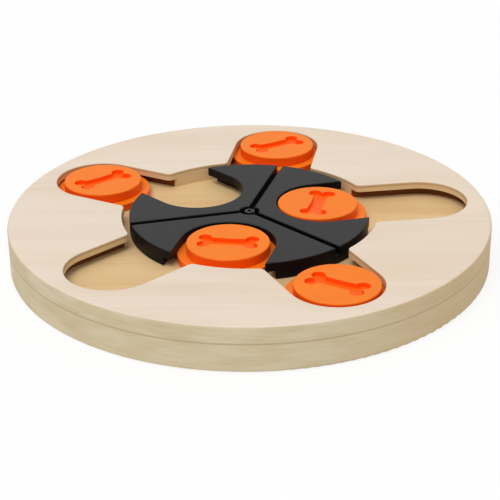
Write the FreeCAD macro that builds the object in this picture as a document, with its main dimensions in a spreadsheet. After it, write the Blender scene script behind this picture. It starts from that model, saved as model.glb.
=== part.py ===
import FreeCAD, Part
import math
import os

import Sketcher

# Round puzzle feeder of two bonded wooden layers. The upper layer has a round opening with
# five pockets around it, each undercut to hold the flange of a round slider. A black rotor
# turns in the opening on a central screw. It has three notches, undercut the same way. Each
# slider is hollow from below, so that it covers what lies on the floor.
# Origin: the middle of the board, at the bottom of its feet. +Z is up, +Y is the back.

SIZES = {
    # wooden board
    "board_radius": 145.0,
    "lower_thickness": 17.0,
    "upper_thickness": 10.3,
    "rim_round": 1.6,
    "rim_wall": 10.7,
    "opening_round": 0.9,
    "mouth_round": 4.0,
    "pocket_count": 5,
    "pocket_bearing": 8.0,
    # clearances between what stands in line from the middle to the rim
    "core_radius": 12.7,
    "notch_spare": 0.9,
    "flange_grip": 2.6,
    "flange_clearance": 2.7,
    "flange_overhang": 3.2,
    "cap_clearance": 2.8,
    "rotor_gap": 4.4,
    "slider_room": 5.0,
    # feet and joining screws under the board
    "foot_radius": 7.0,
    "foot_thickness": 2.0,
    "foot_proud": 0.6,
    "foot_inset": 23.0,
    "foot_clearance": 0.1,
    "wood_screw_inset": 33.0,
    "wood_screw_recess": 0.3,
    "wood_screw_cover": 4.3,
    "wood_screw_radius": 1.9,
    "wood_screw_head": 3.8,
    "wood_screw_cone": 2.4,
    "screw_fit": 0.05,
    # rotor
    "rotor_rise": 0.5,
    "rotor_bearing": 14.0,
    "notch_count": 3,
    "segment_gap": 3.6,
    "segment_round": 0.7,
    "segment_hole": 6.0,
    "carrier_spare": 0.5,
    "carrier_lift": 0.6,
    "segment_screw_inset": 14.5,
    "segment_screw_spread": 51.0,
    "segment_screw_cover": 2.0,
    "segment_screw_radius": 1.4,
    "segment_screw_head": 2.9,
    "segment_screw_cone": 1.6,
    # central screw and its seat
    "axle_radius": 2.0,
    "axle_head_radius": 2.9,
    "axle_head_height": 4.0,
    "axle_head_round": 0.35,
    "axle_end_inset": 2.6,
    "drive_radius": 1.5,
    "drive_depth": 2.2,
    "bush_wall": 1.9,
    "bush_spare": 0.3,
    "running_fit": 0.1,
    "washer_radius": 5.4,
    "washer_thickness": 1.0,
    "glide_inset": 0.8,
    "nut_flange_radius": 8.0,
    "nut_flange_thickness": 1.2,
    "nut_barrel_radius": 3.0,
    "nut_barrel_height": 9.0,
    "nut_recess": 0.3,
    # sliders
    "slider_lift": 0.2,
    "flange_thickness": 4.6,
    "flange_round": 0.6,
    "lip_gap": 0.9,
    "cap_rise": 0.6,
    "cap_gap": 0.3,
    "cap_round": 0.8,
    "cap_skin": 1.5,
    "core_wall": 1.4,
    "skirt_wall": 1.9,
    "ring_wall": 1.6,
    "ring_height": 3.2,
    "ring_spare": 0.4,
    "bead_height": 0.3,
    "bone_depth": 2.5,
    "bone_lobe_radius": 4.0,
    "bone_lobe_along": 13.8,
    "bone_lobe_across": 4.2,
    "bone_cleft_along": 15.0,
    "bone_waist": 3.9,
    "bone_neck": 4.8,
    # where each slider stands: outward from its pocket's or notch's round end, the bearing,
    # and the turn of its cap
    "left_outset": -2.2,
    "left_bearing": 152.0,
    "left_turn": 37.0,
    "back_outset": 0.7,
    "back_bearing": 80.0,
    "back_turn": 29.0,
    "front_outset": 1.5,
    "front_bearing": 296.0,
    "front_turn": -30.0,
    "rotor_right_outset": -3.0,
    "rotor_right_bearing": 14.0,
    "rotor_right_turn": 76.0,
    "rotor_front_outset": -0.7,
    "rotor_front_bearing": 254.0,
    "rotor_front_turn": -7.0,
}

# Sizes that follow from the ones above. From the middle to the rim stand the core, the inner
# half of a notch, half of the slider in it, half of a slider in a pocket, the outer half of
# that pocket and the rim's wall. A pocket's half width is in four of these.
FORMULAS = {
    "undercut_depth": "flange_grip + flange_clearance",
    "pocket_half_width": "(board_radius - rim_wall - slider_room - 2 * flange_grip"
                         " + flange_overhang - notch_spare - undercut_depth - core_radius) / 4",
    "pocket_reach": "board_radius - rim_wall - pocket_half_width",
    "flange_radius": "pocket_half_width + flange_grip",
    "cap_radius": "pocket_half_width - cap_clearance",
    "rotor_radius": "pocket_reach - slider_room - flange_radius",
    "opening_radius": "rotor_radius + rotor_gap",
    "notch_half_width": "pocket_half_width + notch_spare",
    "notch_reach": "core_radius + undercut_depth + notch_half_width",
    "undercut_height": "slider_lift + flange_thickness + lip_gap",
    "carrier_thickness": "slider_lift + flange_thickness + carrier_spare - carrier_lift",
    "glide_radius": "core_radius - glide_inset",
    "foot_reach": "board_radius - foot_inset",
    "wood_screw_reach": "board_radius - wood_screw_inset",
    "wood_screw_length": "lower_thickness + upper_thickness - wood_screw_recess"
                         " - wood_screw_cover",
    "segment_screw_reach": "rotor_radius - segment_screw_inset",
    "segment_screw_length": "upper_thickness + rotor_rise - carrier_lift - segment_screw_cover",
}

SLIDERS = ("left", "back", "front", "rotor_right", "rotor_front")
SEGMENTS = ("right", "left", "front")

# Heights above the ground, and sizes that follow from the ones above
FLOOR = "Sizes.foot_proud + Sizes.lower_thickness"
CARRIER_TOP = "Sizes.carrier_lift + Sizes.carrier_thickness"
SEGMENT_THICKNESS = f"Sizes.upper_thickness + Sizes.rotor_rise - ({CARRIER_TOP})"
BUSH_RADIUS = "Sizes.axle_radius + Sizes.running_fit + Sizes.bush_wall"
BUSH_HEIGHT = f"{CARRIER_TOP} + Sizes.bush_spare"
HEAD_SEAT = f"{BUSH_HEIGHT} + Sizes.washer_thickness"
AXLE_LENGTH = f"{HEAD_SEAT} + Sizes.lower_thickness - Sizes.axle_end_inset"
FLANGE_TOP = "Sizes.slider_lift + Sizes.flange_thickness"
CAP_HEIGHT = f"Sizes.upper_thickness + Sizes.cap_rise - ({FLANGE_TOP} + Sizes.cap_gap)"
SKIRT_RADIUS = "Sizes.cap_radius - Sizes.skirt_wall"
RING_RADIUS = f"{SKIRT_RADIUS} - Sizes.running_fit"
CORE_RADIUS = f"{RING_RADIUS} - Sizes.ring_wall - Sizes.ring_spare"
GROOVE_HEIGHT = "Sizes.ring_height - Sizes.cap_gap + Sizes.ring_spare"
HOLLOW_HEIGHT = f"{CAP_HEIGHT} - Sizes.bone_depth - Sizes.cap_skin"

# How near two heights or reaches lie when an edge counts as the one looked for
NEAR = 1e-4


def make_sheet(doc):
    """The driving sizes and what follows from them, one to a row, each with its own alias."""
    sheet = doc.addObject("Spreadsheet::Sheet", "Sizes")
    rows = {**SIZES, **{alias: f"={formula}" for alias, formula in FORMULAS.items()}}
    for row, (alias, value) in enumerate(rows.items(), start=1):
        sheet.set(f"A{row}", alias)
        sheet.set(f"B{row}", str(value))
        sheet.setAlias(f"B{row}", alias)
        doc.recompute()


def value_of(doc, alias):
    """What a row of the sheet comes to."""
    return float(doc.Sizes.get(alias))


def new_body(doc, name, lift, bearing="0", reach="0", turn=None):
    """A body at a height, reach and bearing, turned by its own angle."""
    body = doc.addObject("PartDesign::Body", name)
    body.Label = name
    body.AllowCompound = True
    body.Placement.Rotation = FreeCAD.Rotation(FreeCAD.Vector(0, 0, 1), 1)
    body.setExpression("Placement.Base.x", f"({reach}) * cos(({bearing}) * 1 deg)")
    body.setExpression("Placement.Base.y", f"({reach}) * sin(({bearing}) * 1 deg)")
    body.setExpression("Placement.Base.z", lift)
    body.setExpression("Placement.Rotation.Angle", f"({turn or bearing}) * 1 deg")
    return body


def origin_item(body, role):
    return next(item for item in body.Origin.OriginFeatures if item.Role == role)


def flat_sketch(body, name, lift="0"):
    """A sketch parallel to the ground, at a height in its body."""
    sketch = body.newObject("Sketcher::SketchObject", name)
    sketch.AttachmentSupport = [(origin_item(body, "XY_Plane"), "")]
    sketch.MapMode = "FlatFace"
    sketch.setExpression("AttachmentOffset.Base.z", lift)
    return sketch


def upright_sketch(body, name, reach="0", bearing="0"):
    """A standing sketch whose upright axis is at a reach and bearing from the body's own."""
    sketch = body.newObject("Sketcher::SketchObject", name)
    sketch.AttachmentSupport = [(origin_item(body, "XZ_Plane"), "")]
    sketch.MapMode = "FlatFace"
    sketch.setExpression("AttachmentOffset.Base.x", f"{reach} * cos({bearing} * 1 deg)")
    sketch.setExpression("AttachmentOffset.Base.z", f"-{reach} * sin({bearing} * 1 deg)")
    return sketch


def bind(sketch, kind, geometry, point, size):
    """One dimension of a sketch, held to an expression."""
    where = (geometry,) if point is None else (geometry, point)
    index = sketch.addConstraint(Sketcher.Constraint(kind, *where, 1.0))
    sketch.setExpression(f"Constraints[{index}]", size)


def circle(sketch, radius, x="0", y="0"):
    up = FreeCAD.Vector(0, 0, 1)
    item = sketch.addGeometry(Part.Circle(FreeCAD.Vector(1, 1, 0), up, 1))
    bind(sketch, "Radius", item, None, radius)
    bind(sketch, "DistanceX", item, 3, x)
    bind(sketch, "DistanceY", item, 3, y)


def outline(sketch, corners):
    """A closed run of straight edges through corners given as pairs of expressions."""
    count = len(corners)
    angles = [2 * math.pi * i / count for i in range(count)]
    points = [FreeCAD.Vector(math.cos(a), math.sin(a), 0) for a in angles]
    for i in range(count):
        sketch.addGeometry(Part.LineSegment(points[i], points[(i + 1) % count]))
    for i, (x, y) in enumerate(corners):
        sketch.addConstraint(Sketcher.Constraint("Coincident", i, 2, (i + 1) % count, 1))
        bind(sketch, "DistanceX", i, 1, x)
        bind(sketch, "DistanceY", i, 1, y)


def rectangle(sketch, start, end, half_width):
    """A rectangle from start to end along X, centred on that axis."""
    low = f"-({half_width})"
    outline(sketch, [(start, low), (end, low), (end, half_width), (start, half_width)])


def pad(body, sketch, name, length):
    feature = body.newObject("PartDesign::Pad", name)
    feature.Profile = sketch
    feature.setExpression("Length", length)
    body.Document.recompute()
    return feature


def pocket(body, sketch, name, depth):
    """A cut downwards from its sketch, which has to take something away."""
    before = body.Shape.Volume
    feature = body.newObject("PartDesign::Pocket", name)
    feature.Profile = sketch
    feature.setExpression("Length", depth)
    body.Document.recompute()
    if body.Shape.Volume >= before:
        raise RuntimeError(f"{body.Label}: {name} cuts nothing")
    return feature


def revolve(body, sketch, name, cut=False):
    """A full turn of a profile about its sketch's upright axis."""
    before = body.Shape.Volume if cut else 0
    kind = "PartDesign::Groove" if cut else "PartDesign::Revolution"
    feature = body.newObject(kind, name)
    feature.Profile = sketch
    feature.ReferenceAxis = (sketch, ["V_Axis"])
    feature.Angle = 360
    body.Document.recompute()
    if cut and body.Shape.Volume >= before:
        raise RuntimeError(f"{body.Label}: {name} cuts nothing")
    return feature


def around(body, features, name, count):
    """Repeats features evenly around the body's upright axis."""
    pattern = body.newObject("PartDesign::PolarPattern", name)
    pattern.Originals = features
    pattern.Axis = (origin_item(body, "Z_Axis"), [""])
    pattern.Angle = 360
    pattern.setExpression("Occurrences", count)
    body.Tip = pattern
    body.Document.recompute()
    return pattern


def fillet(body, name, radius, wanted):
    """Rounds the edges of the body for which wanted(edge) holds."""
    tip = body.Tip
    names = [f"Edge{i}" for i, edge in enumerate(tip.Shape.Edges, start=1) if wanted(edge)]
    feature = body.newObject("PartDesign::Fillet", name)
    feature.Base = (tip, names)
    feature.setExpression("Radius", radius)
    body.Document.recompute()
    return feature


def at_height(edge, height):
    """True for an edge that lies level at a height in its body."""
    box = edge.BoundBox
    return abs(box.ZMin - height) < NEAR and abs(box.ZMax - height) < NEAR


def edge_reach(edge):
    """How far the edge's middle is from the body's upright axis."""
    middle = edge.valueAt((edge.FirstParameter + edge.LastParameter) / 2)
    return math.hypot(middle.x, middle.y)


def slot_cut(body, name, lift, reach, half_width, depth):
    """A cut of parallel sides that starts at the middle and has a round outer end."""
    end = flat_sketch(body, f"{name}_end_sketch", lift)
    circle(end, half_width, x=reach)
    end_cut = pocket(body, end, f"{name}_end", depth)
    run = flat_sketch(body, f"{name}_run_sketch", lift)
    rectangle(run, "0", reach, half_width)
    run_cut = pocket(body, run, f"{name}_run", depth)
    return [end_cut, run_cut]


def notch_cut(body, name, lift, half_width, depth):
    """A cut with a round inner end that is open at the rotor's rim."""
    end = flat_sketch(body, f"{name}_end_sketch", lift)
    circle(end, half_width, x="Sizes.notch_reach")
    end_cut = pocket(body, end, f"{name}_end", depth)
    run = flat_sketch(body, f"{name}_run_sketch", lift)
    rectangle(run, "Sizes.notch_reach", "Sizes.rotor_radius + Sizes.segment_gap", half_width)
    run_cut = pocket(body, run, f"{name}_run", depth)
    return [end_cut, run_cut]


def screw_outline(sketch, kind, base="0"):
    """Half the section of a countersunk screw that points up, its head's face at base."""
    shank = f"Sizes.{kind}_radius"
    cone = f"{base} + Sizes.{kind}_cone"
    tip = f"{base} + Sizes.{kind}_length"
    outline(sketch, [
        ("0", base), (f"Sizes.{kind}_head", base), (shank, cone), (shank, tip), ("0", tip),
    ])


def screw_hole_outline(sketch, kind, base="0", recess="0"):
    """Half the section of that screw's hole: wider by the fit, with the head sunk in it."""
    shank = f"Sizes.{kind}_radius + Sizes.screw_fit"
    head = f"Sizes.{kind}_head + Sizes.screw_fit"
    seat = f"{base} + {recess} + Sizes.screw_fit"
    cone = f"{base} + {recess} + Sizes.{kind}_cone"
    tip = f"{base} + {recess} + Sizes.{kind}_length + Sizes.screw_fit"
    outline(sketch, [
        ("0", base), (head, base), (head, seat), (shank, cone), (shank, tip), ("0", tip),
    ])


def make_lower_board(doc):
    """Solid lower layer, with seats for the feet, screws and nut in its underside."""
    body = new_body(doc, "lower_board", "Sizes.foot_proud", "Sizes.pocket_bearing")
    top = "Sizes.lower_thickness"
    disc = flat_sketch(body, "disc_sketch")
    circle(disc, "Sizes.board_radius")
    pad(body, disc, "disc", top)

    foot_depth = "Sizes.foot_thickness - Sizes.foot_proud"
    foot = flat_sketch(body, "foot_seat_sketch", foot_depth)
    circle(foot, "Sizes.foot_radius + Sizes.foot_clearance", x="Sizes.foot_reach")
    foot_cut = pocket(body, foot, "foot_seat", foot_depth)
    around(body, [foot_cut], "foot_seats", "Sizes.pocket_count")

    half_step = "180 / Sizes.pocket_count"
    hole = upright_sketch(body, "screw_hole_sketch", "Sizes.wood_screw_reach", half_step)
    screw_hole_outline(hole, "wood_screw", recess="Sizes.wood_screw_recess")
    hole_cut = revolve(body, hole, "screw_hole", cut=True)
    around(body, [hole_cut], "screw_holes", "Sizes.pocket_count")

    seat = upright_sketch(body, "nut_seat_sketch")
    flange = "Sizes.nut_flange_radius + Sizes.screw_fit"
    barrel = "Sizes.nut_barrel_radius + Sizes.screw_fit"
    bore = "Sizes.axle_radius + Sizes.running_fit"
    step = "Sizes.nut_recess + Sizes.nut_flange_thickness"
    shoulder = "Sizes.nut_recess + Sizes.nut_barrel_height"
    outline(seat, [
        ("0", "0"), (flange, "0"), (flange, step), (barrel, step),
        (barrel, shoulder), (bore, shoulder), (bore, top), ("0", top),
    ])
    revolve(body, seat, "nut_seat", cut=True)

    rim = value_of(doc, "board_radius")
    fillet(body, "bottom_rounding", "Sizes.rim_round",
           lambda e: at_height(e, 0) and abs(edge_reach(e) - rim) < NEAR)
    return body


def make_upper_board(doc):
    """Upper layer with the lobed opening, its pockets undercut from below."""
    body = new_body(doc, "upper_board", FLOOR, "Sizes.pocket_bearing")
    top = "Sizes.upper_thickness"
    ring = flat_sketch(body, "ring_sketch")
    circle(ring, "Sizes.board_radius")
    circle(ring, "Sizes.opening_radius")
    pad(body, ring, "ring", top)

    slot = slot_cut(body, "pocket", top, "Sizes.pocket_reach", "Sizes.pocket_half_width", top)
    around(body, slot, "pockets", "Sizes.pocket_count")
    full = value_of(doc, "upper_thickness")
    reach = value_of(doc, "opening_radius")
    fillet(body, "mouth_rounding", "Sizes.mouth_round",
           lambda e: abs(e.BoundBox.ZLength - full) < NEAR and abs(edge_reach(e) - reach) < NEAR)

    wide = "Sizes.pocket_half_width + Sizes.undercut_depth"
    height = "Sizes.undercut_height"
    under = slot_cut(body, "undercut", height, "Sizes.pocket_reach", wide, height)
    around(body, under, "undercuts", "Sizes.pocket_count")

    hole = upright_sketch(body, "screw_hole_sketch", "Sizes.wood_screw_reach",
                          "180 / Sizes.pocket_count")
    screw_hole_outline(hole, "wood_screw", "-Sizes.lower_thickness",
                       "Sizes.wood_screw_recess")
    hole_cut = revolve(body, hole, "screw_hole", cut=True)
    around(body, [hole_cut], "screw_holes", "Sizes.pocket_count")

    rim = value_of(doc, "board_radius")
    fillet(body, "opening_rounding", "Sizes.opening_round",
           lambda e: at_height(e, full) and abs(edge_reach(e) - rim) > NEAR)
    fillet(body, "rim_rounding", "Sizes.rim_round",
           lambda e: at_height(e, full) and abs(edge_reach(e) - rim) < NEAR)
    return body


def make_joining_screws(doc):
    """Countersunk screws up through the lower board into the ribs of the upper one."""
    body = new_body(doc, "joining_screws", "Sizes.foot_proud + Sizes.wood_screw_recess",
                    "Sizes.pocket_bearing")
    screw = upright_sketch(body, "screw_sketch", "Sizes.wood_screw_reach",
                           "180 / Sizes.pocket_count")
    screw_outline(screw, "wood_screw")
    shape = revolve(body, screw, "screw")
    around(body, [shape], "screws", "Sizes.pocket_count")
    return body


def make_feet(doc):
    """Non-slip pads that stand a little out of their seats under the board."""
    body = new_body(doc, "rubber_feet", "0", "Sizes.pocket_bearing")
    foot = flat_sketch(body, "foot_sketch")
    circle(foot, "Sizes.foot_radius", x="Sizes.foot_reach")
    shape = pad(body, foot, "foot", "Sizes.foot_thickness")
    around(body, [shape], "feet", "Sizes.pocket_count")
    return body


def make_axle_nut(doc):
    """Flanged threaded nut pressed into the lower board from below."""
    body = new_body(doc, "axle_nut", "Sizes.foot_proud + Sizes.nut_recess")
    bore = "Sizes.axle_radius + Sizes.screw_fit"
    flange = "Sizes.nut_flange_radius"
    barrel = "Sizes.nut_barrel_radius"
    step = "Sizes.nut_flange_thickness"
    top = "Sizes.nut_barrel_height"
    section = upright_sketch(body, "nut_sketch")
    outline(section, [
        (bore, "0"), (flange, "0"), (flange, step), (barrel, step), (barrel, top), (bore, top),
    ])
    revolve(body, section, "nut")
    return body


def make_axle_screw(doc):
    """Socket head screw that the rotor turns about."""
    body = new_body(doc, "axle_screw", f"{FLOOR} + {HEAD_SEAT}")
    shank = "Sizes.axle_radius"
    head = "Sizes.axle_head_radius"
    top = "Sizes.axle_head_height"
    end = f"-({AXLE_LENGTH})"
    section = upright_sketch(body, "screw_sketch")
    outline(section, [("0", end), (shank, end), (shank, "0"), (head, "0"), (head, top), ("0", top)])
    revolve(body, section, "screw")
    head_top = value_of(doc, "axle_head_height")
    fillet(body, "head_rounding", "Sizes.axle_head_round", lambda e: at_height(e, head_top))

    drive = body.newObject("PartDesign::SubtractivePrism", "drive")
    drive.AttachmentSupport = [(origin_item(body, "XY_Plane"), "")]
    drive.MapMode = "FlatFace"
    drive.setExpression("AttachmentOffset.Base.z", f"{top} - Sizes.drive_depth")
    drive.setExpression("Circumradius", "Sizes.drive_radius")
    drive.setExpression("Height", "Sizes.drive_depth")
    return body


def make_ring(doc, name, lift, inner, outer, height):
    """A plain ring about the middle, such as a bush or a washer."""
    body = new_body(doc, name, lift)
    ring = flat_sketch(body, "ring_sketch")
    circle(ring, inner)
    circle(ring, outer)
    pad(body, ring, "ring", height)
    return body


def make_carrier(doc):
    """Lower plate of the rotor: the flanges of its sliders lie in its notches."""
    body = new_body(doc, "rotor_carrier", f"{FLOOR} + Sizes.carrier_lift", "Sizes.rotor_bearing")
    top = "Sizes.carrier_thickness"
    disc = flat_sketch(body, "disc_sketch")
    circle(disc, "Sizes.rotor_radius")
    circle(disc, f"{BUSH_RADIUS} + Sizes.running_fit")
    pad(body, disc, "disc", top)
    wide = "Sizes.notch_half_width + Sizes.undercut_depth"
    cuts = notch_cut(body, "notch", top, wide, top)
    around(body, cuts, "notches", "Sizes.notch_count")
    for side, sign in (("left", ""), ("right", "-")):
        hole = upright_sketch(body, f"{side}_hole_sketch", "Sizes.segment_screw_reach",
                              f"{sign}Sizes.segment_screw_spread")
        screw_hole_outline(hole, "segment_screw")
        hole_cut = revolve(body, hole, f"{side}_hole", cut=True)
        around(body, [hole_cut], f"{side}_holes", "Sizes.notch_count")
    return body


def make_segment(doc, name, number):
    """One third of the rotor's top, with a notch open at the rim."""
    bearing = f"Sizes.rotor_bearing + {number} * 360 / Sizes.notch_count"
    body = new_body(doc, f"rotor_segment_{name}", f"{FLOOR} + {CARRIER_TOP}", bearing)
    disc = flat_sketch(body, "disc_sketch")
    circle(disc, "Sizes.rotor_radius")
    circle(disc, "Sizes.segment_hole")
    pad(body, disc, "disc", SEGMENT_THICKNESS)

    # what lies beyond the two gaps goes: a field with its apex on the notch's axis
    half = "180 / Sizes.notch_count * 1 deg"
    apex = f"Sizes.segment_gap / 2 / sin({half})"
    out = f"{apex} + 2 * Sizes.rotor_radius * cos({half})"
    side = f"2 * Sizes.rotor_radius * sin({half})"
    back = "-2 * Sizes.rotor_radius"
    rest = flat_sketch(body, "other_thirds_sketch", SEGMENT_THICKNESS)
    outline(rest, [(apex, "0"), (out, side), (back, side), (back, f"-{side}"), (out, f"-{side}")])
    pocket(body, rest, "other_thirds", SEGMENT_THICKNESS)

    notch_cut(body, "notch", SEGMENT_THICKNESS, "Sizes.notch_half_width", SEGMENT_THICKNESS)
    base = f"-({CARRIER_TOP}) + Sizes.carrier_lift"
    for hand, sign in (("left", ""), ("right", "-")):
        hole = upright_sketch(body, f"{hand}_hole_sketch", "Sizes.segment_screw_reach",
                              f"{sign}Sizes.segment_screw_spread")
        screw_hole_outline(hole, "segment_screw", base)
        revolve(body, hole, f"{hand}_hole", cut=True)
    top = (value_of(doc, "upper_thickness") + value_of(doc, "rotor_rise")
           - value_of(doc, "carrier_lift") - value_of(doc, "carrier_thickness"))
    fillet(body, "top_rounding", "Sizes.segment_round", lambda e: at_height(e, top))
    return body


def make_segment_screws(doc):
    """Two countersunk screws to each segment, up through the carrier."""
    body = new_body(doc, "segment_screws", f"{FLOOR} + Sizes.carrier_lift",
                    "Sizes.rotor_bearing")
    shapes = []
    for side, sign in (("left", ""), ("right", "-")):
        screw = upright_sketch(body, f"{side}_screw_sketch", "Sizes.segment_screw_reach",
                               f"{sign}Sizes.segment_screw_spread")
        screw_outline(screw, "segment_screw")
        shapes.append(revolve(body, screw, f"{side}_screw"))
    around(body, shapes, "screws", "Sizes.notch_count")
    return body


def slider_place(name):
    """The expressions that put a slider's pieces in its pocket or notch."""
    seat = "notch" if name.startswith("rotor") else "pocket"
    return {
        "bearing": f"Sizes.{name}_bearing",
        "reach": f"Sizes.{seat}_reach + Sizes.{name}_outset",
        "turn": f"Sizes.{name}_turn",
    }


def make_slider_base(doc, name):
    """Open flange that slides under the lip, with a snap ring for the cap."""
    lift = f"{FLOOR} + Sizes.slider_lift"
    body = new_body(doc, f"{name}_slider_base", lift, **slider_place(name))
    inner = f"{RING_RADIUS} - Sizes.ring_wall"
    rim = "Sizes.flange_radius"
    top = "Sizes.flange_thickness"
    ring_top = f"{top} + Sizes.ring_height"
    bead = [f"{top} + Sizes.ring_height * {share}" for share in ("0.4", "0.6", "0.8")]
    section = upright_sketch(body, "section_sketch")
    outline(section, [
        (inner, "0"), (rim, "0"), (rim, top), (RING_RADIUS, top), (RING_RADIUS, bead[0]),
        (f"{RING_RADIUS} + Sizes.bead_height", bead[1]), (RING_RADIUS, bead[2]),
        (RING_RADIUS, ring_top), (inner, ring_top),
    ])
    revolve(body, section, "flange")
    reach = value_of(doc, "flange_radius")
    fillet(body, "flange_rounding", "Sizes.flange_round",
           lambda e: abs(edge_reach(e) - reach) < NEAR and e.BoundBox.ZLength < NEAR)
    return body


def make_slider_cap(doc, name):
    """Round cap that turns on its base, hollow below, with a bone-shaped grip sunk into it."""
    lift = f"{FLOOR} + {FLANGE_TOP} + Sizes.cap_gap"
    body = new_body(doc, f"{name}_slider_cap", lift, **slider_place(name))
    bead = [f"Sizes.ring_height * {share} - Sizes.cap_gap" for share in ("0.4", "0.6", "0.8")]
    hollow = f"{CORE_RADIUS} - Sizes.core_wall"
    section = upright_sketch(body, "section_sketch")
    outline(section, [
        ("0", HOLLOW_HEIGHT), (hollow, HOLLOW_HEIGHT), (hollow, "0"), (CORE_RADIUS, "0"),
        (CORE_RADIUS, GROOVE_HEIGHT), (SKIRT_RADIUS, GROOVE_HEIGHT), (SKIRT_RADIUS, bead[2]),
        (f"{SKIRT_RADIUS} + Sizes.bead_height", bead[1]), (SKIRT_RADIUS, bead[0]),
        (SKIRT_RADIUS, "0"), ("Sizes.cap_radius", "0"), ("Sizes.cap_radius", CAP_HEIGHT),
        ("0", CAP_HEIGHT),
    ])
    revolve(body, section, "cap")

    shaft = flat_sketch(body, "bone_shaft_sketch", CAP_HEIGHT)
    end = "Sizes.bone_cleft_along"
    waist = "Sizes.bone_waist"
    neck = "Sizes.bone_neck"
    outline(shaft, [
        (f"-{end}", f"-{neck}"), ("0", f"-{waist}"), (end, f"-{neck}"),
        (end, neck), ("0", waist), (f"-{end}", neck),
    ])
    pocket(body, shaft, "bone_shaft", "Sizes.bone_depth")
    along = "Sizes.bone_lobe_along"
    across = "Sizes.bone_lobe_across"
    for pair, sign in (("first", ""), ("second", "-")):
        lobes = flat_sketch(body, f"bone_{pair}_lobes_sketch", CAP_HEIGHT)
        circle(lobes, "Sizes.bone_lobe_radius", along, f"{sign}{across}")
        circle(lobes, "Sizes.bone_lobe_radius", f"-{along}",
               f"-{across}" if not sign else across)
        pocket(body, lobes, f"bone_{pair}_lobes", "Sizes.bone_depth")

    reach = value_of(doc, "cap_radius")
    ring_top = value_of(doc, "ring_height")
    fillet(body, "cap_rounding", "Sizes.cap_round",
           lambda e: abs(edge_reach(e) - reach) < NEAR and e.BoundBox.ZMin > ring_top)
    return body


def make_parts(doc):
    """Every piece of the feeder, from the bottom up."""
    bush_bore = "Sizes.axle_radius + Sizes.running_fit"
    parts = [
        make_lower_board(doc),
        make_upper_board(doc),
        make_joining_screws(doc),
        make_feet(doc),
        make_axle_nut(doc),
        make_axle_screw(doc),
        make_ring(doc, "axle_bush", FLOOR, bush_bore, BUSH_RADIUS, BUSH_HEIGHT),
        make_ring(doc, "axle_washer", f"{FLOOR} + {BUSH_HEIGHT}", bush_bore,
                  "Sizes.washer_radius", "Sizes.washer_thickness"),
        make_ring(doc, "glide_washer", FLOOR, f"{BUSH_RADIUS} + Sizes.running_fit",
                  "Sizes.glide_radius", "Sizes.carrier_lift - Sizes.running_fit"),
        make_carrier(doc),
    ]
    parts += [make_segment(doc, name, number) for number, name in enumerate(SEGMENTS)]
    parts.append(make_segment_screws(doc))
    for name in SLIDERS:
        parts.append(make_slider_base(doc, name))
        parts.append(make_slider_cap(doc, name))
    doc.recompute()
    return parts


def check(doc, parts):
    """Stops if any object failed, or if a piece isn't a sound solid."""
    for item in doc.Objects:
        if "Invalid" in item.State or "Error" in item.State:
            raise RuntimeError(f"{item.Label} failed: {item.State}")
    for part in parts:
        if part.Shape.isNull() or not part.Shape.isValid() or not part.Shape.Solids:
            raise RuntimeError(f"{part.Label} isn't a sound solid")


def main():
    doc = FreeCAD.newDocument("puzzle_feeder")
    make_sheet(doc)
    parts = make_parts(doc)
    check(doc, parts)
    os.makedirs("parts", exist_ok=True)
    for part in parts:
        part.Shape.exportStep(f"parts/{part.Label}.step")
        print(part.Label, len(part.Shape.Solids), round(part.Shape.Volume / 1000, 3), "cm3")


main()
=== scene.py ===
import math

import bmesh
import bpy
import numpy as np
from bpy.props import FloatProperty, FloatVectorProperty, IntProperty, PointerProperty
from mathutils import Matrix, Vector


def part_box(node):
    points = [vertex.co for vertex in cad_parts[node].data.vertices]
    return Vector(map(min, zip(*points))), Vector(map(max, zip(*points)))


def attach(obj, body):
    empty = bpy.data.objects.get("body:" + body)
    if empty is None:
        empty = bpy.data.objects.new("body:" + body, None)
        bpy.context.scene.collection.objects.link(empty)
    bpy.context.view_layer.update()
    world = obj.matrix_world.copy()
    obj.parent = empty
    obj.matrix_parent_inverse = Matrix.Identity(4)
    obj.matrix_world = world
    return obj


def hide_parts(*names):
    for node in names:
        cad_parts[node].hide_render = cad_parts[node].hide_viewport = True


bl_info = {
    "name": "Puzzle Feeder Finish",
    "version": (1, 0, 0),
    "blender": (4, 5, 0),
    "location": "3D View > Sidebar > Feeder",
    "description": "Dresses a wooden puzzle feeder: boards, rotor, sliders, screws and stage",
    "category": "Object",
}

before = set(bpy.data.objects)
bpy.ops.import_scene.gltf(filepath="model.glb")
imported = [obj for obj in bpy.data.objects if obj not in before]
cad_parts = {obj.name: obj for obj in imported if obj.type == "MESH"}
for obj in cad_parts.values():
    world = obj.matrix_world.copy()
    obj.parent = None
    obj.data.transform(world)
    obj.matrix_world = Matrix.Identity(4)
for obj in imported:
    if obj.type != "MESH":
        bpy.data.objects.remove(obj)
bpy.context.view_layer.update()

MM = 0.001
WHITE = (1.0, 1.0, 1.0)

# Grain of the wood: sizes of its patches along X, Y and Z in mm, and the grain's bearing
GRAIN_TURN = math.radians(-4)
GRAIN_LINES = (80, 1.4, 6)
GRAIN_BANDS = (170, 24, 40)
GRAIN_FLECKS = (5, 0.5, 2)
EDGE_PLIES = (14, 14, 1.7)
EDGE_PATCHES = (30, 30, 9)
ROUTED_STREAKS = (25, 25, 0.8)
# Streaks in the undercut's painted shade, mm
UNDERCUT_SHADE_STREAKS = (20, 20, 1.5)
# Patches of even tone in moulded plastic, mm
FLOW = (18, 18, 18)
# How far the floor of a recess in moulded plastic takes on the painted shade of its sides
RECESS_PAINTED_SHADE = 0.75
# Distance between the rings that the tool leaves on turned steel, mm
RING_STEP = 0.4

# Points along the outline of the upper layer's opening, and across its rounded edges
END_POINTS = 26
SIDE_POINTS = 12
CORNER_POINTS = 9
MOUTH_POINTS = 5
ARC_POINTS = 8
RIM_POINTS = 7
LIP_POINTS = 6
# Where the undercut is shallower than this, its wall is routed and gets no painted shade
SHALLOW = 0.5 * MM
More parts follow.
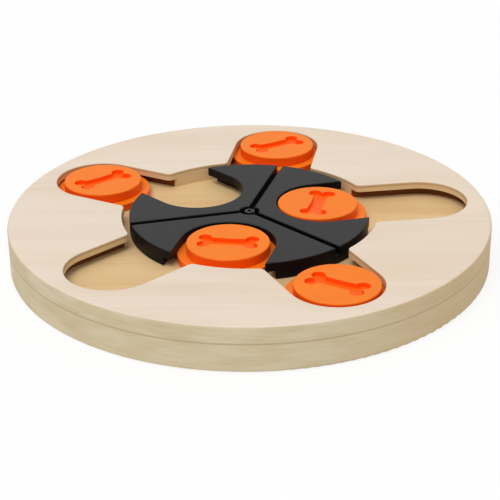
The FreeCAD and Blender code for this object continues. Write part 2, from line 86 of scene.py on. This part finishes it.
# The upper layer's material slots
FACE, LIP, CUT = range(3)
# Doubles nearer than this are merged, and edges sharper than this angle stay sharp
MERGE = 0.002 * MM
SHARP = math.radians(38)

# Sockets of a Mix node in colour mode
MIX_SHARE, MIX_FIRST, MIX_SECOND, MIX_RESULT = 0, 6, 7, 2

# Half the ground's side in metres, and the key lamp's spread and turn
GROUND_HALF = 3.0
LAMP_SPREAD = math.radians(35)
LAMP_TURN = (math.radians(24), math.radians(-16), 0)

SLIDERS = ("left", "back", "front", "rotor_right", "rotor_front")
SEGMENTS = ("right", "left", "front")


def linear(code):
    """An sRGB hex colour as linear red, green and blue."""
    shares = [int(code[i:i + 2], 16) / 255 for i in (1, 3, 5)]
    return tuple(c / 12.92 if c <= 0.04045 else ((c + 0.055) / 1.055) ** 2.4 for c in shares)


def colour_property(name, code, description):
    return FloatVectorProperty(
        name=name, description=description, subtype="COLOR", size=3, min=0, max=1,
        default=linear(code))


def length_property(name, size_mm, description):
    return FloatProperty(
        name=name, description=description, default=size_mm * MM, min=0,
        subtype="DISTANCE", unit="LENGTH")


class FeederSizes(bpy.types.PropertyGroup):
    """Sizes of the wooden upper layer and of the finish on its edges."""

    pocket_count: IntProperty(
        name="Pockets", description="Pockets around the opening", default=5, min=1)
    pocket_bearing: FloatProperty(
        name="Pocket Bearing", description="Bearing of the first pocket's middle line",
        default=math.radians(8), subtype="ANGLE", unit="ROTATION")
    opening: length_property("Opening Radius", 76.9, "Radius of the round opening")
    pocket_half_width: length_property("Pocket Half Width", 27.1, "Half the width at the lip")
    pocket_reach: length_property("Pocket Reach", 107.2, "Middle of each pocket's round end")
    undercut: length_property("Undercut", 5.3, "How far each pocket goes in under its lip")
    lip: length_property("Lip", 4.6, "Thickness of the lip over the undercut")
    top_ply: length_property("Top Ply", 1.9, "Thickness of the darker ply at the top of the lip")
    seam: length_property("Seam", 0.35, "Half the height of the glue line between the layers")
    mouth_round: length_property("Mouth Rounding", 4.0, "Radius of the corners at each mouth")
    lip_round: length_property("Lip Rounding", 0.9, "Radius of the opening's upper edge")
    rim_round: length_property("Rim Rounding", 1.6, "Radius of the board's upper edge")


class FeederColours(bpy.types.PropertyGroup):
    """Colours of the finishes."""

    face: colour_property("Face", "#EDDDCB", "Sanded face of the pale board")
    face_grain: colour_property("Face Grain", "#DFC8AC", "Grain lines in the face")
    # The edge is darker than the face partly from the plies' own tone and partly as painted shade
    # on the upright rim.
    edge: colour_property("Edge", "#D0C2A4", "Turned edge of the boards")
    edge_grain: colour_property("Edge Grain", "#BFAB82", "Darker plies in the edge")
    # Painted shade: the rim is painted darker and warmer towards its right.
    edge_right_shade: colour_property("Warm Edge", "#C9A673", "End grain, towards the edge's right")
    glue: colour_property("Glue Line", "#B09A74", "Seam between the two layers")
    lip: colour_property("Lip", "#DFC294", "Routed wall of the pockets")
    lip_ply: colour_property("Lip Ply", "#C3A377", "Darker ply at the top of that wall")
    floor: colour_property("Floor", "#E8C894", "Floor of the pockets")
    floor_grain: colour_property("Floor Grain", "#CFA167", "Grain lines in the floor")
    # Painted shade: the dark brown of the undercut's wall and the lip's underside, where the lip
    # shades them.
    cut: colour_property("Cut", "#7A4314", "Scorched wall of the undercut")
    black: colour_property("Black Plastic", "#171716", "Matt top faces of the rotor")
    # Painted shade: the rotor's sides are painted darker than its tops.
    black_shaded_side: colour_property("Black Side", "#0B090B", "Smooth sides of the rotor")
    orange: colour_property("Orange Plastic", "#FF800E", "Satin top faces of the sliders")
    # Painted shade: the sliders' sides are painted a deeper orange than their tops.
    orange_shaded_side: colour_property("Orange Side", "#FF5A08", "Smooth sides of the sliders")
    steel: colour_property("Steel", "#B9BBBC", "Zinc-plated screws and nut")
    dark_steel: colour_property("Dark Steel", "#3A3A3C", "Blackened socket screw")
    washer: colour_property("Washer", "#1E1E20", "Oxide-black washer under the screw's head")
    nylon: colour_property("Nylon", "#E4E1D6", "Natural nylon bush and washer")
    rubber: colour_property("Rubber", "#2A2A2A", "Non-slip pads")


class FeederStage(bpy.types.PropertyGroup):
    """Camera and light."""

    lens: FloatProperty(
        name="Lens", description="Focal length on a 36 mm sensor", default=106.45,
        subtype="DISTANCE_CAMERA", unit="CAMERA")
    distance: FloatProperty(
        name="Distance", description="From the camera to the point it looks at",
        default=0.9077, subtype="DISTANCE", unit="LENGTH")
    elevation: FloatProperty(
        name="Elevation", description="Camera height angle above the ground",
        default=math.radians(25.97), subtype="ANGLE", unit="ROTATION")
    roll: FloatProperty(
        name="Roll", description="Tilt of the camera about its line of sight",
        default=math.radians(-0.553), subtype="ANGLE", unit="ROTATION")
    aim: FloatVectorProperty(
        name="Aim", description="The point that the camera looks at", size=3,
        default=(0.14 * MM, 2.25 * MM, 0.6 * MM), subtype="TRANSLATION", unit="LENGTH")
    ambient: FloatProperty(
        name="Ambient", description="Strength of the even white light", default=0.62, min=0)
    floor_white: FloatProperty(
        name="Floor White", description="Share of the floor that looks plain white",
        default=0.85, min=0, max=1)
    key: FloatProperty(
        name="Key", description="Strength of the soft key light", default=1.25, min=0)


def add_node(tree, kind, inputs=None, **settings):
    """One node with its settings, its values, and links from other nodes' sockets."""
    node = tree.nodes.new(kind)
    for key, value in settings.items():
        setattr(node, key, value)
    for socket, value in (inputs or {}).items():
        if isinstance(value, bpy.types.NodeSocket):
            tree.links.new(value, node.inputs[socket])
        else:
            node.inputs[socket].default_value = value
    return node


def rgba(colour):
    return (*colour, 1.0)


def new_material(name):
    """A material with only a Principled shader and its output."""
    material = bpy.data.materials.new(name)
    material.use_nodes = True
    tree = material.node_tree
    tree.nodes.clear()
    shader = add_node(tree, "ShaderNodeBsdfPrincipled")
    add_node(tree, "ShaderNodeOutputMaterial", {"Surface": shader.outputs["BSDF"]})
    return material, tree, shader


def blend(tree, share, first, second):
    """A colour between two, each given as a colour or as another node's socket."""
    first, second = (colour if isinstance(colour, bpy.types.NodeSocket) else rgba(colour)
                     for colour in (first, second))
    node = add_node(tree, "ShaderNodeMix", {
        MIX_SHARE: share, MIX_FIRST: first, MIX_SECOND: second}, data_type="RGBA")
    return node.outputs[MIX_RESULT]


def ramp(tree, value, start, end, low=0.0, high=1.0):
    """A value that goes from low to high as the given one goes from start to end."""
    return add_node(tree, "ShaderNodeMapRange", {
        "Value": value, "From Min": start, "From Max": end, "To Min": low, "To Max": high,
    }).outputs["Result"]


def combine(tree, operation, first, second=0.0, clamp=False):
    """The outcome of a sum, a product or the like."""
    return add_node(tree, "ShaderNodeMath", {0: first, 1: second}, operation=operation,
                    use_clamp=clamp).outputs["Value"]


def object_place(tree):
    """The place on the piece as it stands at rest."""
    return add_node(tree, "ShaderNodeTexCoord").outputs["Object"]


def along(tree, place, axis):
    """One of a vector's three parts: X, Y or Z."""
    return add_node(tree, "ShaderNodeSeparateXYZ", {"Vector": place}).outputs[axis]


def noise(tree, place, size_mm, detail=2.0, turn=0.0, distortion=0.0):
    """Noise whose patches have the given sizes along X, Y and Z, turned about Z."""
    mapping = add_node(tree, "ShaderNodeMapping", {
        "Vector": place, "Rotation": (0, 0, turn), "Scale": [1 / (side * MM) for side in size_mm]})
    return add_node(tree, "ShaderNodeTexNoise", {
        "Vector": mapping.outputs["Vector"], "Scale": 1.0, "Detail": detail,
        "Distortion": distortion}).outputs["Fac"]


def level_share(tree, low, high):
    """One where the surface lies level, nought where it stands upright."""
    normal = add_node(tree, "ShaderNodeNewGeometry").outputs["Normal"]
    return ramp(tree, combine(tree, "ABSOLUTE", along(tree, normal, "Z")), low, high)


def wood_material(name, face, face_grain, edge_colour, strength=1.0):
    """Birch plywood, sanded and clear lacquered. Its level faces have fine lines of grain,
    broad bands that wander, and short flecks. edge_colour(tree, place) makes the colour of
    the upright surfaces."""
    material, tree, shader = new_material(name)
    place = object_place(tree)
    lines = noise(tree, place, GRAIN_LINES, detail=3.0, turn=GRAIN_TURN)
    bands = noise(tree, place, GRAIN_BANDS, turn=GRAIN_TURN, distortion=0.6)
    flecks = noise(tree, place, GRAIN_FLECKS, detail=1.0, turn=GRAIN_TURN)
    share = combine(
        tree, "ADD",
        combine(tree, "ADD", ramp(tree, lines, 0.42, 0.75, 0, 0.22 * strength),
                ramp(tree, bands, 0.36, 0.7, 0, 0.4 * strength)),
        ramp(tree, flecks, 0.62, 0.8, 0, 0.24 * strength), clamp=True)
    colour = blend(tree, level_share(tree, 0.55, 0.9), edge_colour(tree, place),
                   blend(tree, share, face, face_grain))
    bump = add_node(tree, "ShaderNodeBump", {
        "Strength": 0.2, "Distance": 0.05 * MM, "Height": share}, invert=True)
    tree.links.new(colour, shader.inputs["Base Color"])
    tree.links.new(ramp(tree, lines, 0, 1, 0.52, 0.66), shader.inputs["Roughness"])
    tree.links.new(bump.outputs["Normal"], shader.inputs["Normal"])
    shader.inputs["Specular IOR Level"].default_value = 0.25
    return material


def turned_edge(colours, sizes, seam_height):
    """The board's turned edge: level plies with soft patches, a warm painted shade towards the
    right, and a glue line at the seam."""
    def edge_colour(tree, place):
        plies = noise(tree, place, EDGE_PLIES, detail=3.0)
        patches = noise(tree, place, EDGE_PATCHES, detail=1.0)
        share = combine(tree, "ADD", ramp(tree, plies, 0.4, 0.75, 0, 0.4),
                        ramp(tree, patches, 0.4, 0.7, 0, 0.45), clamp=True)
        plain = blend(tree, share, colours.edge, colours.edge_grain)
        # Painted shade: the edge is blended towards a darker, warmer colour towards +X, the board's
        # right.
        side = ramp(tree, along(tree, place, "X"), 30 * MM, 140 * MM, 0, 0.6)
        shaded_right = blend(tree, side, plain, colours.edge_right_shade)
        offset = combine(tree, "SUBTRACT", along(tree, place, "Z"), seam_height)
        seam = ramp(tree, combine(tree, "ABSOLUTE", offset), sizes.seam, 2 * sizes.seam, 0.7, 0)
        return blend(tree, seam, shaded_right, colours.glue)
    return edge_colour


def routed_edge(colours, sizes, top_height):
    """A routed wall: a darker ply over a paler one, with faint streaks along them."""
    def edge_colour(tree, place):
        streaks = noise(tree, place, ROUTED_STREAKS)
        ply_low = top_height - sizes.top_ply
        ply = ramp(tree, along(tree, place, "Z"), ply_low - 0.3 * MM, ply_low)
        plain = blend(tree, ply, colours.lip, colours.lip_ply)
        return blend(tree, ramp(tree, streaks, 0.45, 0.75, 0, 0.35), plain, colours.lip_ply)
    return edge_colour


def painted_undercut_edge(colour):
    """Painted shade for the undercut: a dark brown wall colour, uneven along its length."""
    def edge_colour(tree, place):
        tone = ramp(tree, noise(tree, place, UNDERCUT_SHADE_STREAKS), 0.3, 0.7)
        darker = tuple(0.8 * part for part in colour)
        return blend(tree, tone, darker, colour)
    return edge_colour


def moulded_material(name, face, side, roughness, texture_mm, depth_mm, specular=0.5,
                     side_specular=0.5, recess=None):
    """Injection-moulded plastic. Level faces have the mould's fine spark-eroded texture, upright
    ones are smoother and carry painted shade in a deeper side colour, as does, in part, a level
    floor between the two heights of the recess. The tone is a little uneven where the melt flowed."""
    material, tree, shader = new_material(name)
    place = object_place(tree)
    flow = noise(tree, place, FLOW, distortion=0.8)
    level = level_share(tree, 0.2, 0.8)
    darker = tuple(0.93 * part for part in face)
    top = blend(tree, ramp(tree, flow, 0.3, 0.7), darker, face)
    if recess:
        height = along(tree, place, "Z")
        above = combine(tree, "GREATER_THAN", height, recess[0])
        below = combine(tree, "LESS_THAN", height, recess[1])
        painted_shade_band = combine(tree, "MULTIPLY", above, below)
        # Painted shade: the recess floor is blended part way towards the darker side colour.
        top = blend(tree, combine(tree, "MULTIPLY", painted_shade_band, RECESS_PAINTED_SHADE), top, side)
    # Painted shade: upright faces take the darker side colour.
    colour = blend(tree, level, side, top)
    grit = noise(tree, place, (texture_mm,) * 3)
    bump = add_node(tree, "ShaderNodeBump", {
        "Strength": 0.35, "Distance": depth_mm * MM, "Height": grit})
    gloss = combine(tree, "ADD", ramp(tree, flow, 0, 1, -0.03, 0.03),
                    ramp(tree, level, 0, 1, roughness - 0.12, roughness))
    tree.links.new(colour, shader.inputs["Base Color"])
    tree.links.new(gloss, shader.inputs["Roughness"])
    tree.links.new(bump.outputs["Normal"], shader.inputs["Normal"])
    tree.links.new(ramp(tree, level, 0, 1, side_specular, specular),
                   shader.inputs["Specular IOR Level"])
    return material


def steel_material(name, colour, roughness):
    """Turned steel, plated or blackened, with fine rings that the tool has left. A wave
    texture at scale 1 has 20 rings to a unit of length."""
    material, tree, shader = new_material(name)
    rings = add_node(tree, "ShaderNodeTexWave", {
        "Vector": object_place(tree), "Scale": 1 / (20 * RING_STEP * MM), "Distortion": 1.5,
        "Detail": 2.0}, wave_type="RINGS", rings_direction="Z")
    streak = ramp(tree, rings.outputs["Fac"], 0, 1, roughness - 0.05, roughness + 0.1)
    bump = add_node(tree, "ShaderNodeBump", {
        "Strength": 0.2, "Distance": 0.02 * MM, "Height": rings.outputs["Fac"]})
    tree.links.new(streak, shader.inputs["Roughness"])
    tree.links.new(bump.outputs["Normal"], shader.inputs["Normal"])
    shader.inputs["Base Color"].default_value = rgba(colour)
    shader.inputs["Metallic"].default_value = 1.0
    return material


def dress(node, material):
    """Gives a CAD node its material, and smooth shading across its welded faces."""
    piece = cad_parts[node]
    piece.data.materials.clear()
    piece.data.materials.append(material)
    weld = piece.modifiers.new("Weld", "WELD")
    weld.merge_threshold = MERGE / 2
    smooth = piece.modifiers.new("Even Shading", "WEIGHTED_NORMAL")
    smooth.mode = "FACE_AREA_WITH_ANGLE"
    smooth.weight = 100
    smooth.keep_sharp = True


def new_piece(name, points, faces, materials, slots):
    """A mesh object at the origin, with doubles merged and faces pointing outwards."""
    mesh = bpy.data.meshes.new(name)
    mesh.from_pydata(points, [], faces)
    for material in materials:
        mesh.materials.append(material)
    mesh.polygons.foreach_set("material_index", slots)
    work = bmesh.new()
    work.from_mesh(mesh)
    bmesh.ops.remove_doubles(work, verts=work.verts, dist=MERGE)
    bmesh.ops.dissolve_degenerate(work, edges=work.edges, dist=MERGE / 2)
    bmesh.ops.recalc_face_normals(work, faces=work.faces)
    work.to_mesh(mesh)
    work.free()
    mesh.shade_smooth()
    mesh.set_sharp_from_angle(angle=SHARP)
    piece = bpy.data.objects.new(name, mesh)
    bpy.context.scene.collection.objects.link(piece)
    return piece


def ring_faces(columns, rows):
    """Quads of a grid whose columns go round and join up, and whose rows do too."""
    column, row = np.meshgrid(np.arange(columns), np.arange(rows), indexing="ij")
    after, below = (column + 1) % columns, (row + 1) % rows
    corners = (column * rows + row, after * rows + row, after * rows + below, column * rows + below)
    return np.stack(corners, axis=-1).reshape(-1, 4)


def lobe_half(sizes):
    """Points and outward normals along half of one pocket's outline, from its middle line
    to halfway to the next pocket. In order: the arc of the round end about the reach, the
    straight side at the half width, the arc of the mouth's corner, and the round opening."""
    reach, opening = sizes.pocket_reach, sizes.opening
    half_width, mouth_round = sizes.pocket_half_width, sizes.mouth_round
    turn = np.linspace(0, np.pi / 2, END_POINTS)
    end_out = np.stack([np.cos(turn), np.sin(turn)], 1)
    end = np.array([reach, 0]) + half_width * end_out
    corner_y = half_width + mouth_round
    corner_x = math.sqrt((opening + mouth_round) ** 2 - corner_y ** 2)
    run = np.linspace(reach, corner_x, SIDE_POINTS)[1:]
    side = np.stack([run, np.full_like(run, half_width)], 1)
    side_out = np.tile([0.0, 1.0], (len(run), 1))
    bearing = math.atan2(corner_y, corner_x)
    bend = np.linspace(-np.pi / 2, bearing - np.pi, CORNER_POINTS)[1:]
    inward = np.stack([np.cos(bend), np.sin(bend)], 1)
    corner = np.array([corner_x, corner_y]) + mouth_round * inward
    last = math.pi / sizes.pocket_count
    meet = math.asin((half_width + sizes.undercut) / opening)
    arc = np.concatenate([np.linspace(bearing, meet, MOUTH_POINTS)[1:],
                          np.linspace(meet, last, ARC_POINTS)[1:]])
    round_out = np.stack([np.cos(arc), np.sin(arc)], 1)
    points = np.concatenate([end, side, corner, opening * round_out])
    return points, np.concatenate([end_out, side_out, -inward, round_out])


def lobed_outline(sizes):
    """The whole outline of the opening: each half lobe, mirrored, and turned to its bearing."""
    points, out = lobe_half(sizes)
    flip = np.array([1.0, -1.0])
    lobe = np.concatenate([(points * flip)[::-1], points[1:-1]])
    lobe_out = np.concatenate([(out * flip)[::-1], out[1:-1]])
    turns = np.arange(sizes.pocket_count) * 2 * np.pi / sizes.pocket_count
    turns = turns + sizes.pocket_bearing
    spin = np.stack([np.cos(turns), -np.sin(turns), np.sin(turns), np.cos(turns)], 1)
    spin = spin.reshape(-1, 2, 2)
    return (np.einsum("kij,nj->kni", spin, lobe).reshape(-1, 2),
            np.einsum("kij,nj->kni", spin, lobe_out).reshape(-1, 2))


def undercut_outline(sizes, points):
    """The undercut's wall at the same bearings as points: the pocket's outline widened by
    the undercut, and never inside the round opening."""
    wide = sizes.pocket_half_width + sizes.undercut
    step = 2 * np.pi / sizes.pocket_count
    bearing = np.arctan2(points[:, 1], points[:, 0])
    local = (bearing - sizes.pocket_bearing + step / 2) % step - step / 2
    reach = sizes.pocket_reach
    under = np.maximum(wide ** 2 - (reach * np.sin(local)) ** 2, 0)
    far = reach * np.cos(local) + np.sqrt(under)
    tiny = 1e-6
    side = wide / np.maximum(np.abs(np.sin(local)), tiny)
    radius = np.where(np.abs(local) < math.atan2(wide, reach), far, side)
    line = np.hypot(points[:, 0], points[:, 1])
    between = np.abs(local) > math.asin(wide / sizes.opening) - tiny
    radius = np.where(between, line, np.maximum(radius, line))
    return np.stack([radius * np.cos(bearing), radius * np.sin(bearing)], 1)


def quarter(steps, radius):
    """Across and along a quarter of a circle: the radius times one less the cosine, and
    the radius times one less the sine."""
    turn = np.linspace(0, np.pi / 2, steps)
    return zip(radius * (1 - np.cos(turn)), radius * (1 - np.sin(turn)))


def upper_layer_surface(sizes, radius, low, high):
    """A closed section carried round the opening's outline. At each point of the outline
    the section climbs the rim, rounds over, crosses the face at one bearing, rounds down
    into the opening along the outline's normal, drops to the lip's underside, runs out to
    the undercut's wall and down it, and comes back to the rim underneath. Returns points,
    quads and each quad's material slot."""
    line, out = lobed_outline(sizes)
    wall = undercut_outline(sizes, line)
    start = line + sizes.lip_round * out
    bearing = np.arctan2(start[:, 1], start[:, 0])
    radial = np.stack([np.cos(bearing), np.sin(bearing)], 1)
    strips = [(radius * radial, low, FACE)]
    for inset, drop in quarter(RIM_POINTS, sizes.rim_round):
        strips.append(((radius - inset) * radial, high - drop, FACE))
    for step, (drop, come) in enumerate(quarter(LIP_POINTS, sizes.lip_round)):
        slot = FACE if step < LIP_POINTS / 2 else LIP
        strips.append((line + come * out, high - drop, slot))
    lip_low = high - sizes.lip
    strips += [(line, lip_low, CUT), (wall, lip_low, CUT), (wall, low, FACE)]
    count = len(line)
    grid = np.stack([np.column_stack([flat, np.full(count, height)])
                     for flat, height, slot in strips], axis=1)
    slots = np.tile([slot for flat, height, slot in strips], (count, 1))
    shallow = np.hypot(*(wall - line).T) <= SHALLOW
    slots[shallow[:, None] & (slots == CUT)] = LIP
    return grid.reshape(-1, 3), ring_faces(count, len(strips)), slots.ravel().astype(np.int32)


class FEEDER_OT_upper_layer(bpy.types.Operator):
    """Builds the upper wooden layer with its lobed opening and undercut pockets"""

    bl_idname = "feeder.upper_layer"
    bl_label = "Upper Layer"

    def execute(self, context):
        sizes, colours = context.scene.feeder_sizes, context.scene.feeder_colours
        low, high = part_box("upper_board")
        radius = (high.x - low.x) / 2
        points, faces, slots = upper_layer_surface(sizes, radius, low.z, high.z)
        woods = [
            wood_material("birch_face", colours.face, colours.face_grain,
                          turned_edge(colours, sizes, low.z)),
            wood_material("birch_routed", colours.face, colours.face_grain,
                          routed_edge(colours, sizes, high.z)),
            # Painted shade: the lip's underside and the undercut's wall get a dark brown colour.
            wood_material("birch_painted_undercut", colours.cut, colours.cut,
                          painted_undercut_edge(colours.cut)),
        ]
        piece = new_piece("upper_layer", points, faces, woods, slots)
        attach(piece, "board")
        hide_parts("upper_board")
        return {"FINISHED"}


class FEEDER_OT_lower_layer(bpy.types.Operator):
    """Finishes the lower wooden layer, which is the pockets' floor"""

    bl_idname = "feeder.lower_layer"
    bl_label = "Lower Layer"

    def execute(self, context):
        sizes, colours = context.scene.feeder_sizes, context.scene.feeder_colours
        seam_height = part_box("upper_board")[0].z
        floor = wood_material("birch_floor", colours.floor, colours.floor_grain,
                              turned_edge(colours, sizes, seam_height), strength=1.1)
        dress("lower_board", floor)
        return {"FINISHED"}


class FEEDER_OT_rotor(bpy.types.Operator):
    """Finishes the black rotor: its carrier and three segments"""

    bl_idname = "feeder.rotor"
    bl_label = "Rotor"

    def execute(self, context):
        colours = context.scene.feeder_colours
        # Painted shade: the rotor's upright sides get a darker colour than its tops.
        black = moulded_material("abs_black", colours.black, colours.black_shaded_side,
                                 0.55, 0.5, 0.04, specular=0.3, side_specular=0.12)
        for node in ("rotor_carrier", *(f"rotor_segment_{name}" for name in SEGMENTS)):
            dress(node, black)
        return {"FINISHED"}


class FEEDER_OT_sliders(bpy.types.Operator):
    """Finishes the orange sliders, each a flanged base and a turning cap"""

    bl_idname = "feeder.sliders"
    bl_label = "Sliders"

    def execute(self, context):
        colours = context.scene.feeder_colours
        cap_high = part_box("left_slider_cap")[1].z
        # Painted shade: the sliders' upright sides and the floors of their bone recesses get a
        # deeper orange.
        orange = moulded_material("abs_orange", colours.orange, colours.orange_shaded_side,
                                  0.5, 0.6, 0.03, specular=0.2, side_specular=0.2,
                                  recess=(cap_high - 4 * MM, cap_high - 1 * MM))
        for name in SLIDERS:
            dress(f"{name}_slider_base", orange)
            dress(f"{name}_slider_cap", orange)
        return {"FINISHED"}


class FEEDER_OT_hardware(bpy.types.Operator):
    """Finishes the screws, nut, bush, washers and feet"""

    bl_idname = "feeder.hardware"
    bl_label = "Hardware"

    def execute(self, context):
        colours = context.scene.feeder_colours
        plated = steel_material("steel_zinc_plated", colours.steel, 0.35)
        blackened = steel_material("steel_blackened", colours.dark_steel, 0.4)
        oxide = steel_material("steel_oxide", colours.washer, 0.5)
        nylon = moulded_material("nylon_natural", colours.nylon, colours.nylon, 0.5, 0.7, 0.02)
        rubber = moulded_material("rubber_moulded", colours.rubber, colours.rubber,
                                  0.8, 0.5, 0.05, specular=0.3)
        for node in ("joining_screws", "segment_screws", "axle_nut"):
            dress(node, plated)
        dress("axle_screw", blackened)
        dress("axle_washer", oxide)
        for node in ("axle_bush", "glide_washer"):
            dress(node, nylon)
        dress("rubber_feet", rubber)
        return {"FINISHED"}


def camera_place(stage):
    """The camera's matrix: it looks along a line that comes down at the elevation, and is
    tilted about that line by the roll."""
    rise, tilt = stage.elevation, stage.roll
    ahead = Vector((0, math.cos(rise), -math.sin(rise)))
    level = Vector((1, 0, 0))
    upward = level.cross(ahead)
    right = math.cos(tilt) * level + math.sin(tilt) * upward
    up = math.cos(tilt) * upward - math.sin(tilt) * level
    turn = Matrix((right, up, -ahead)).transposed().to_4x4()
    return Matrix.Translation(Vector(stage.aim) - ahead * stage.distance) @ turn


def white_to_eye(tree, shader, seen, share=1.0):
    """A surface that lights the piece as usual, but whose share looks plain white to the
    camera, to mirrors and through glass."""
    rays = add_node(tree, "ShaderNodeLightPath")
    either = combine(tree, "MAXIMUM", rays.outputs["Is Camera Ray"], rays.outputs["Is Glossy Ray"])
    either = combine(tree, "MAXIMUM", either, rays.outputs["Is Transmission Ray"])
    return add_node(tree, "ShaderNodeMixShader", {
        "Fac": combine(tree, "MULTIPLY", either, share), 1: shader, 2: seen}).outputs["Shader"]


def make_ground(stage):
    """A wide floor, matt white paint, which catches a faint shadow."""
    half = GROUND_HALF
    mesh = bpy.data.meshes.new("ground")
    mesh.from_pydata([(-half, -half, 0), (half, -half, 0), (half, half, 0), (-half, half, 0)],
                     [], [(0, 1, 2, 3)])
    material, tree, shader = new_material("painted_floor")
    shader.inputs["Base Color"].default_value = rgba(WHITE)
    shader.inputs["Roughness"].default_value = 0.9
    shader.inputs["Specular IOR Level"].default_value = 0.0
    white = add_node(tree, "ShaderNodeEmission", {"Color": rgba(WHITE), "Strength": 1.0})
    mixed = white_to_eye(tree, shader.outputs["BSDF"], white.outputs["Emission"],
                         stage.floor_white)
    output = next(n for n in tree.nodes if n.bl_idname == "ShaderNodeOutputMaterial")
    tree.links.new(mixed, output.inputs["Surface"])
    mesh.materials.append(material)
    ground = bpy.data.objects.new("ground", mesh)
    bpy.context.scene.collection.objects.link(ground)


def make_world(stage):
    """Even white light from all sides, before a background that looks white."""
    world = bpy.data.worlds.new("studio")
    world.use_nodes = True
    tree = world.node_tree
    tree.nodes.clear()
    light = add_node(tree, "ShaderNodeBackground", {
        "Color": rgba(WHITE), "Strength": stage.ambient})
    seen = add_node(tree, "ShaderNodeBackground", {"Color": rgba(WHITE), "Strength": 1.0})
    mixed = white_to_eye(tree, light.outputs["Background"], seen.outputs["Background"])
    add_node(tree, "ShaderNodeOutputWorld", {"Surface": mixed})
    bpy.context.scene.world = world


def make_key(stage):
    """A wide, soft lamp from above, the front and the left."""
    lamp = bpy.data.lights.new("key", "SUN")
    lamp.energy = stage.key
    lamp.angle = LAMP_SPREAD
    key = bpy.data.objects.new("key", lamp)
    key.rotation_euler = LAMP_TURN
    bpy.context.scene.collection.objects.link(key)


def make_camera(stage):
    """The camera, on a 36 mm sensor."""
    eye = bpy.data.cameras.new("eye")
    eye.lens = stage.lens
    eye.sensor_width = 36.0
    eye.sensor_fit = "HORIZONTAL"
    eye.clip_start = 0.01
    camera = bpy.data.objects.new("eye", eye)
    camera.matrix_world = camera_place(stage)
    bpy.context.scene.collection.objects.link(camera)
    bpy.context.scene.camera = camera


class FEEDER_OT_stage(bpy.types.Operator):
    """Sets the pale floor, the soft light and the camera"""

    bl_idname = "feeder.stage"
    bl_label = "Stage"

    def execute(self, context):
        stage = context.scene.feeder_stage
        make_ground(stage)
        make_world(stage)
        make_key(stage)
        make_camera(stage)
        context.scene.view_settings.view_transform = "Standard"
        return {"FINISHED"}


STEPS = (
    FEEDER_OT_stage,
    FEEDER_OT_upper_layer,
    FEEDER_OT_lower_layer,
    FEEDER_OT_rotor,
    FEEDER_OT_sliders,
    FEEDER_OT_hardware,
)


class FEEDER_PT_panel(bpy.types.Panel):
    """Lists the feeder's steps"""

    bl_idname = "FEEDER_PT_panel"
    bl_label = "Puzzle Feeder"
    bl_space_type = "VIEW_3D"
    bl_region_type = "UI"
    bl_category = "Feeder"

    def draw(self, context):
        for step in STEPS:
            self.layout.operator(step.bl_idname)


GROUPS = {"feeder_sizes": FeederSizes, "feeder_colours": FeederColours,
          "feeder_stage": FeederStage}
CLASSES = (*GROUPS.values(), *STEPS, FEEDER_PT_panel)


def register():
    for item in CLASSES:
        bpy.utils.register_class(item)
    for name, group in GROUPS.items():
        setattr(bpy.types.Scene, name, PointerProperty(type=group))


def unregister():
    for name in GROUPS:
        delattr(bpy.types.Scene, name)
    for item in reversed(CLASSES):
        bpy.utils.unregister_class(item)


def main():
    register()
    bpy.ops.feeder.stage()
    bpy.ops.feeder.upper_layer()
    bpy.ops.feeder.lower_layer()
    bpy.ops.feeder.rotor()
    bpy.ops.feeder.sliders()
    bpy.ops.feeder.hardware()


if __name__ == "__main__":
    main()
